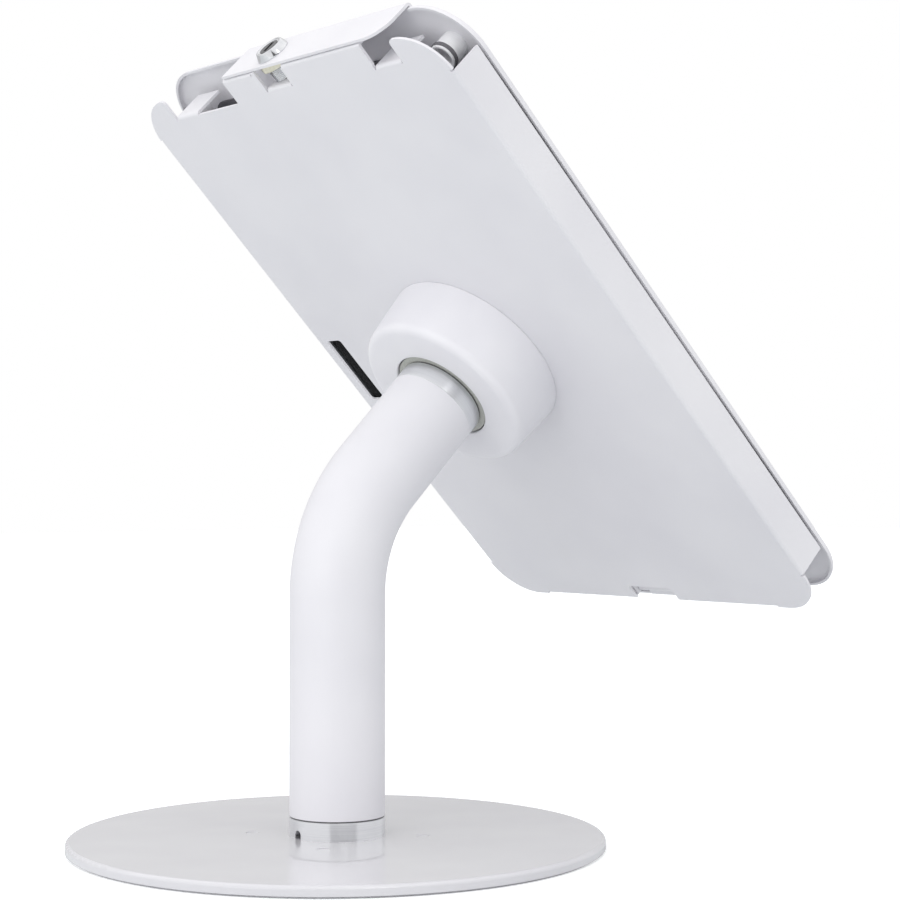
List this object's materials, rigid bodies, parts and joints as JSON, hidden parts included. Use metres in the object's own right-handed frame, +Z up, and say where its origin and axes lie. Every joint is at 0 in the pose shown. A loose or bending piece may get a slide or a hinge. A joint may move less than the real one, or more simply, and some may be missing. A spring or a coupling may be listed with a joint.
{
  "type": "tablet security kiosk stand",
  "caption": "Counter kiosk stand: a round base, a bent tube arm that swivels, and a turning, hinged, key-locked case that holds a tablet.",
  "frame": {"origin": "centre of the pad's underside, on the resting surface", "axes": "+Z up along the riser, +Y towards the back of the stand, the case faces -Y and up"},
  "size_m": [0.28, 0.3976, 0.4202],
  "materials": {
    "white_powder_coat": "satin",
    "white_gloss_coat": "gloss",
    "white_housing": "satin",
    "hub_grey": "satin",
    "turned_aluminium": "brushed",
    "black_nylon": "matt",
    "bright_steel": "satin",
    "spring_steel": "satin",
    "black_rubber": "matt",
    "black_foam": "matt",
    "grey_plastic": "satin",
    "white_plastic": "satin",
    "lock_chrome": "polished",
    "lock_brass": "satin"
  },
  "bodies": {
    "base": {"base_plate": "white_gloss_coat", "base_pad": "black_rubber", "swivel_hub": "turned_aluminium", "hub_screws": "bright_steel", "lower_collar": "turned_aluminium", "swivel_thrust_washer": "black_nylon", "swivel_disc_spring": "spring_steel", "swivel_ring_nut": "bright_steel"},
    "arm": {"arm_tube": "white_powder_coat", "arm_foot": "turned_aluminium", "swivel_bushes": "black_nylon", "swivel_stop_pin": "bright_steel", "head_spindle": "turned_aluminium", "upper_collar": "turned_aluminium", "head_thrust_washer": "black_nylon", "head_disc_spring": "spring_steel", "head_ring_nut": "bright_steel"},
    "head": {"head_hub": "hub_grey", "head_bushes": "black_nylon", "head_stop_pin": "bright_steel", "hub_cover": "white_housing", "back_tray": "white_powder_coat", "tray_screws": "bright_steel", "cable_grommet": "black_rubber", "tray_foam_pads": "black_foam", "side_rails": "grey_plastic", "side_foam": "black_foam", "lock_catch": "bright_steel", "hinge_pin": "bright_steel"},
    "frame": {"front_frame": "white_powder_coat", "window_gasket": "black_rubber", "corner_posts": "white_plastic", "post_rings": "black_rubber", "lock_body": "lock_chrome", "lock_nut": "lock_brass"},
    "lock": {"lock_plug": "lock_chrome", "lock_cam": "bright_steel", "cam_screw": "bright_steel"}
  },
  "joints": [
    {"name": "arm_swivel", "type": "hinge", "parent": "base", "child": "arm", "pos_m": [0, 0, 0.0165], "axis": [0, 0, 1], "range_deg": [-170, 170]},
    {"name": "head_rotation", "type": "hinge", "parent": "arm", "child": "head", "pos_m": [0, -0.0933, 0.26095], "axis": [0, -0.7071, 0.7071], "range_deg": [-90, 90]},
    {"name": "frame_hinge", "type": "hinge", "parent": "head", "child": "frame", "pos_m": [0, -0.23759, 0.12862], "axis": [1, 0, 0], "range_deg": [0, 90]},
    {"name": "lock_turn", "type": "hinge", "parent": "frame", "child": "lock", "pos_m": [0.0023, 0.03596, 0.40747], "axis": [0, 0.7071, 0.7071], "range_deg": [0, 90]}
  ]
}
